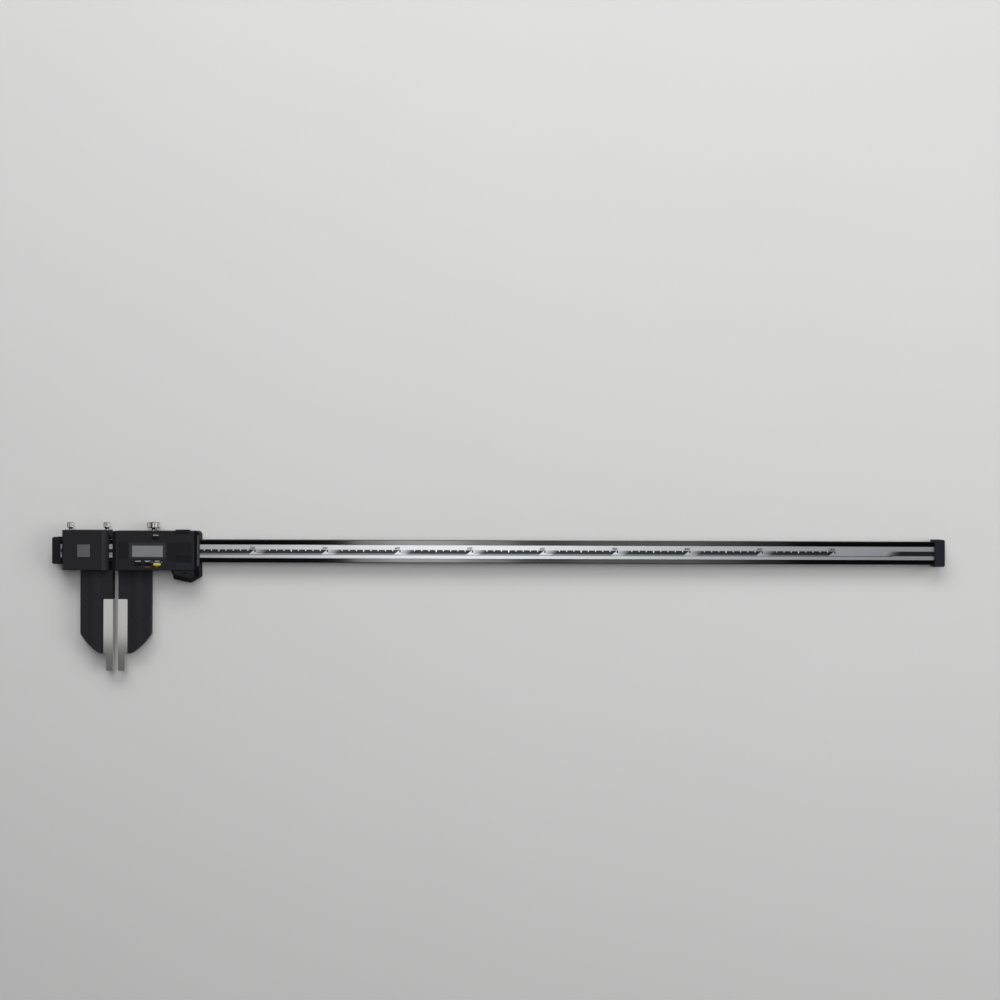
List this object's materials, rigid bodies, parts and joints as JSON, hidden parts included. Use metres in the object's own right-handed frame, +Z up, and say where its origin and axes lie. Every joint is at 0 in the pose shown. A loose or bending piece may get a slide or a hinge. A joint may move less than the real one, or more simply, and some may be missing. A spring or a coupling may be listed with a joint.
{
  "type": "long digital caliper",
  "caption": "Long carbon-fibre digital caliper with a graduated beam, clamped fixed jaw, display slider, steel blades with nibs, thumb rest and end caps.",
  "frame": {"origin": "on the plane that the caliper lies on, under the middle of its overall length and depth", "axes": "+X along the beam from the fixed jaw to the far end cap, +Y from the jaws to the clamp screws, +Z up out of the display"},
  "size_m": [1.2308, 0.206, 0.0348],
  "materials": {
    "carbon_beam": "gloss",
    "carbon_jaw": "satin",
    "coated_alloy": "satin",
    "bare_alloy": "satin",
    "moulded_black": "satin",
    "housing_plastic": "satin",
    "panel_film": "satin",
    "scale_silver": "satin",
    "encoder": "satin",
    "steel": "satin",
    "knurled_steel": "satin",
    "blade_steel": "satin",
    "badge": "satin",
    "brass": "satin",
    "felt": "matte",
    "window_glass": "gloss",
    "lcd_cell": "satin",
    "board_green": "satin",
    "key_black": "satin",
    "key_yellow": "satin",
    "cell_steel": "satin"
  },
  "bodies": {
    "beam_unit": {"beam": "carbon_beam", "scale_plate": "scale_silver", "encoder_strip": "encoder", "end_plug_left": "bare_alloy", "end_plug_right": "bare_alloy", "end_cap_left": "moulded_black", "end_cap_right": "moulded_black", "end_cap_screws": "steel", "fixed_frame": "coated_alloy", "fixed_cover": "coated_alloy", "fixed_cover_screws": "steel", "badge_plate": "badge", "fixed_gib": "brass", "fixed_jaw": "carbon_jaw", "fixed_jaw_screws": "steel", "fixed_blade": "blade_steel", "fixed_blade_screws": "steel"},
    "slider": {"slider_frame": "coated_alloy", "slider_back_cover": "moulded_black", "slider_back_screws": "steel", "slider_gib": "brass", "gib_screws": "steel", "wiper_left": "felt", "wiper_right": "felt", "slider_jaw": "carbon_jaw", "slider_jaw_screws": "steel", "slider_blade": "blade_steel", "slider_blade_screws": "steel", "slider_end_cover": "moulded_black", "end_cover_screws": "steel", "thumb_rest": "moulded_black", "thumb_rest_screw": "steel", "display_housing": "housing_plastic", "housing_screws": "steel", "display_panel": "panel_film", "lcd_bezel": "housing_plastic", "lcd_window": "window_glass", "lcd_module": "lcd_cell", "circuit_board": "board_green", "board_screws": "steel", "readhead": "board_green", "key_switches": "panel_film", "battery": "cell_steel", "battery_contact": "brass", "data_port": "panel_film"},
    "fixed_clamp_pad_left": {"fixed_clamp_pad_left": "brass"},
    "fixed_clamp_screw_left": {"fixed_clamp_screw_left": "knurled_steel"},
    "fixed_clamp_pad_right": {"fixed_clamp_pad_right": "brass"},
    "fixed_clamp_screw_right": {"fixed_clamp_screw_right": "knurled_steel"},
    "slider_clamp_pad": {"slider_clamp_pad": "brass"},
    "slider_clamp_screw": {"slider_clamp_screw": "knurled_steel"},
    "origin_button": {"origin_button": "key_black"},
    "power_button": {"power_button": "key_black"},
    "preset_button": {"preset_button": "key_black"},
    "zero_button": {"zero_button": "key_yellow"},
    "battery_lid": {"battery_lid": "housing_plastic"},
    "data_port_cover": {"data_port_cover": "moulded_black"}
  },
  "joints": [
    {"name": "slider_travel", "type": "slide", "parent": "beam_unit", "child": "slider", "axis": [1, 0, 0], "range_m": [-0.00705, 1.0102]},
    {"name": "fixed_clamp_left_advance", "type": "slide", "parent": "beam_unit", "child": "fixed_clamp_pad_left", "axis": [0, 1, 0], "range_m": [0, 0.0007]},
    {"name": "fixed_clamp_left_turn", "type": "hinge", "parent": "fixed_clamp_pad_left", "child": "fixed_clamp_screw_left", "pos_m": [-0.59235, 0.098, 0.014], "axis": [0, 1, 0], "range_deg": [0, 360]},
    {"name": "fixed_clamp_right_advance", "type": "slide", "parent": "beam_unit", "child": "fixed_clamp_pad_right", "axis": [0, 1, 0], "range_m": [0, 0.0007]},
    {"name": "fixed_clamp_right_turn", "type": "hinge", "parent": "fixed_clamp_pad_right", "child": "fixed_clamp_screw_right", "pos_m": [-0.54205, 0.098, 0.014], "axis": [0, 1, 0], "range_deg": [0, 360]},
    {"name": "slider_clamp_advance", "type": "slide", "parent": "slider", "child": "slider_clamp_pad", "axis": [0, 1, 0], "range_m": [0, 0.0007]},
    {"name": "slider_clamp_turn", "type": "hinge", "parent": "slider_clamp_pad", "child": "slider_clamp_screw", "pos_m": [-0.47755, 0.098, 0.014], "axis": [0, 1, 0], "range_deg": [0, 360]},
    {"name": "origin_button_press", "type": "slide", "parent": "slider", "child": "origin_button", "axis": [0, 0, -1], "range_m": [0, 0.0008], "stiffness_N_per_m": 900, "springref_m": -0.0004},
    {"name": "power_button_press", "type": "slide", "parent": "slider", "child": "power_button", "axis": [0, 0, -1], "range_m": [0, 0.0008], "stiffness_N_per_m": 900, "springref_m": -0.0004},
    {"name": "preset_button_press", "type": "slide", "parent": "slider", "child": "preset_button", "axis": [0, 0, -1], "range_m": [0, 0.0008], "stiffness_N_per_m": 900, "springref_m": -0.0004},
    {"name": "zero_button_press", "type": "slide", "parent": "slider", "child": "zero_button", "axis": [0, 0, -1], "range_m": [0, 0.0008], "stiffness_N_per_m": 900, "springref_m": -0.0004},
    {"name": "battery_lid_lift", "type": "slide", "parent": "slider", "child": "battery_lid", "axis": [0, 0, 1], "range_m": [0, 0.008]},
    {"name": "data_port_cover_pull", "type": "slide", "parent": "slider", "child": "data_port_cover", "axis": [0, 1, 0], "range_m": [0, 0.006]}
  ],
  "couplings": [
    {"joint": "fixed_clamp_left_turn", "follows": "fixed_clamp_left_advance", "rad_per_m": 8976},
    {"joint": "fixed_clamp_right_turn", "follows": "fixed_clamp_right_advance", "rad_per_m": 8976},
    {"joint": "slider_clamp_turn", "follows": "slider_clamp_advance", "rad_per_m": 8976}
  ]
}
